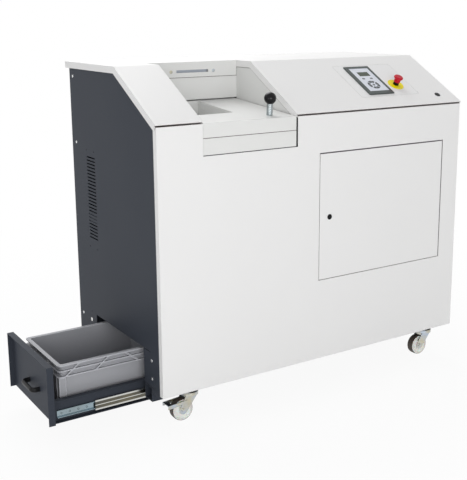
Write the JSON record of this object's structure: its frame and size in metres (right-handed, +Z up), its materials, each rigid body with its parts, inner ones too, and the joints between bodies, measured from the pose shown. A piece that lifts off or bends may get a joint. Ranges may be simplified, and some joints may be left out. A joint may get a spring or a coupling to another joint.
{
  "type": "hard drive crusher",
  "caption": "Hard drive shredder cabinet on castors, white hood and front with grey sides, with a feed slider, a service door and a shred drawer pulled out at its left.",
  "frame": {"origin": "on the floor, under the middle of the machine's bounding box with its drawer out", "axes": "+X to the machine's right as the operator faces it, +Y towards its back, +Z up"},
  "size_m": [1.583, 0.6816, 1.15],
  "materials": {
    "panel_white": "fine smooth powder coat, light grey white",
    "anthracite": "fine textured powder coat, anthracite",
    "zinc": "zinc plated, slightly yellow passivation",
    "bright_steel": "bright turned steel",
    "tool_steel": "ground tool steel",
    "gearbox_grey": "painted casting",
    "container_grey": "moulded polypropylene, mid grey",
    "black_plastic": "glossy black thermoset",
    "black_metal": "satin black coat",
    "bezel_dark": "dark grey moulding",
    "keypad_light": "printed membrane",
    "display_glass": "dark display window",
    "insert_grey": "satin plate",
    "stop_yellow": "yellow moulding",
    "stop_red": "red moulding",
    "wheel_white": "white nylon wheel with a dark tread"
  },
  "bodies": {
    "cabinet": {"base_frame": "anthracite", "upper_frame": "anthracite", "cutter_bed": "anthracite", "left_side_panel": "anthracite", "right_side_panel": "anthracite", "front_panel": "panel_white", "rear_panel": "anthracite", "panel_screws": "zinc", "feed_table": "panel_white", "intake_chute": "zinc", "cutter_end_plates": "tool_steel", "cutter_side_walls": "tool_steel", "outlet_chute": "zinc", "gearbox": "gearbox_grey", "drive_motor": "gearbox_grey", "control_cabinet": "insert_grey", "cabinet_slide_members": "zinc", "slide_brackets": "anthracite", "cable_gland": "black_plastic", "castor_plates": "zinc", "door_hinge_pins": "bright_steel", "hood_hinge_leaves": "zinc"},
    "hood": {"hood": "panel_white", "recess_walls": "panel_white", "slot_plate": "panel_white", "slot_plate_screws": "zinc", "control_insert": "insert_grey", "control_bezel": "bezel_dark", "keypad": "keypad_light", "display": "display_glass", "stop_disc": "stop_yellow", "stop_collar": "black_plastic", "hood_hinge_flaps": "zinc"},
    "stop_head": {"stop_head": "stop_red"},
    "hood_lock": {"hood_lock": "bright_steel"},
    "feed_slider": {"feed_slider": "panel_white", "knob_post": "bright_steel", "knob_ball": "black_plastic"},
    "access_door": {"access_door": "panel_white"},
    "door_lock": {"door_lock": "bright_steel"},
    "drawer": {"drawer_front": "anthracite", "drawer_tray": "anthracite", "drawer_handle": "black_metal", "shred_container": "container_grey", "drawer_slide_members": "zinc"},
    "middle_slide": {"middle_slide_members": "zinc"},
    "cutter_left": {"cutter_shaft_left": "tool_steel", "gear_left": "tool_steel"},
    "cutter_right": {"cutter_shaft_right": "tool_steel", "gear_right": "tool_steel", "drive_coupling": "tool_steel"},
    "brake_pedal": {"brake_pedal": "zinc"},
    "castor_fork_front_left": {"castor_fork_front_left": "zinc"},
    "castor_wheel_front_left": {"castor_wheel_front_left": "wheel_white"},
    "castor_fork_front_right": {"castor_fork_front_right": "zinc"},
    "castor_wheel_front_right": {"castor_wheel_front_right": "wheel_white"},
    "castor_fork_rear_left": {"castor_fork_rear_left": "zinc"},
    "castor_wheel_rear_left": {"castor_wheel_rear_left": "wheel_white"},
    "castor_fork_rear_right": {"castor_fork_rear_right": "zinc"},
    "castor_wheel_rear_right": {"castor_wheel_rear_right": "wheel_white"}
  },
  "joints": [
    {"name": "drawer_travel", "type": "slide", "parent": "cabinet", "child": "drawer", "axis": [-1, 0, 0], "range_m": [-0.321, 0.105]},
    {"name": "middle_slide_travel", "type": "slide", "parent": "cabinet", "child": "middle_slide", "axis": [-1, 0, 0], "range_m": [-0.19, 0.063]},
    {"name": "feed_slider_travel", "type": "slide", "parent": "cabinet", "child": "feed_slider", "axis": [-1, 0, 0], "range_m": [0, 0.148]},
    {"name": "door_hinge", "type": "hinge", "parent": "cabinet", "child": "access_door", "pos_m": [0.7043, -0.33505, 0.638], "axis": [0, 0, 1], "range_deg": [0, 100]},
    {"name": "door_lock_turn", "type": "hinge", "parent": "access_door", "child": "door_lock", "pos_m": [0.1915, -0.33925, 0.636], "axis": [0, 1, 0], "range_deg": [0, 90]},
    {"name": "hood_hinge", "type": "hinge", "parent": "cabinet", "child": "hood", "pos_m": [0.1665, 0.32675, 1.127], "axis": [-1, 0, 0], "range_deg": [0, 60]},
    {"name": "hood_lock_turn", "type": "hinge", "parent": "hood", "child": "hood_lock", "pos_m": [0.7155, -0.29659, 1.01811], "axis": [0, -0.4921, 0.8706], "range_deg": [0, 90]},
    {"name": "stop_push", "type": "slide", "parent": "hood", "child": "stop_head", "axis": [0, 0.4921, -0.8706], "range_m": [0, 0.004], "stiffness_N_per_m": 1500},
    {"name": "cutter_right_turn", "type": "hinge", "parent": "cabinet", "child": "cutter_right", "pos_m": [-0.2835, -0.09325, 0.715], "axis": [0, 1, 0], "continuous": true},
    {"name": "cutter_left_turn", "type": "hinge", "parent": "cabinet", "child": "cutter_left", "pos_m": [-0.3735, -0.09325, 0.715], "axis": [0, 1, 0], "continuous": true},
    {"name": "brake_pedal_turn", "type": "hinge", "parent": "castor_fork_front_left", "child": "brake_pedal", "pos_m": [-0.3285, -0.24125, 0.066], "axis": [0, -1, 0], "range_deg": [0, 10]},
    {"name": "castor_swivel_front_left", "type": "hinge", "parent": "cabinet", "child": "castor_fork_front_left", "pos_m": [-0.3085, -0.24125, 0.088], "axis": [0, 0, 1], "continuous": true},
    {"name": "castor_roll_front_left", "type": "hinge", "parent": "castor_fork_front_left", "child": "castor_wheel_front_left", "pos_m": [-0.3415, -0.24125, 0.0375], "axis": [0, 1, 0], "continuous": true},
    {"name": "castor_swivel_front_right", "type": "hinge", "parent": "cabinet", "child": "castor_fork_front_right", "pos_m": [0.7455, -0.24125, 0.088], "axis": [0, 0, 1], "continuous": true},
    {"name": "castor_roll_front_right", "type": "hinge", "parent": "castor_fork_front_right", "child": "castor_wheel_front_right", "pos_m": [0.7125, -0.24125, 0.0375], "axis": [0, 1, 0], "continuous": true},
    {"name": "castor_swivel_rear_left", "type": "hinge", "parent": "cabinet", "child": "castor_fork_rear_left", "pos_m": [-0.3085, 0.19475, 0.088], "axis": [0, 0, 1], "continuous": true},
    {"name": "castor_roll_rear_left", "type": "hinge", "parent": "castor_fork_rear_left", "child": "castor_wheel_rear_left", "pos_m": [-0.3415, 0.19475, 0.0375], "axis": [0, 1, 0], "continuous": true},
    {"name": "castor_swivel_rear_right", "type": "hinge", "parent": "cabinet", "child": "castor_fork_rear_right", "pos_m": [0.7455, 0.19475, 0.088], "axis": [0, 0, 1], "continuous": true},
    {"name": "castor_roll_rear_right", "type": "hinge", "parent": "castor_fork_rear_right", "child": "castor_wheel_rear_right", "pos_m": [0.7125, 0.19475, 0.0375], "axis": [0, 1, 0], "continuous": true}
  ],
  "couplings": [
    {"joint": "middle_slide_travel", "follows": "drawer_travel", "ratio": 0.59},
    {"joint": "cutter_left_turn", "follows": "cutter_right_turn", "ratio": -1}
  ]
}
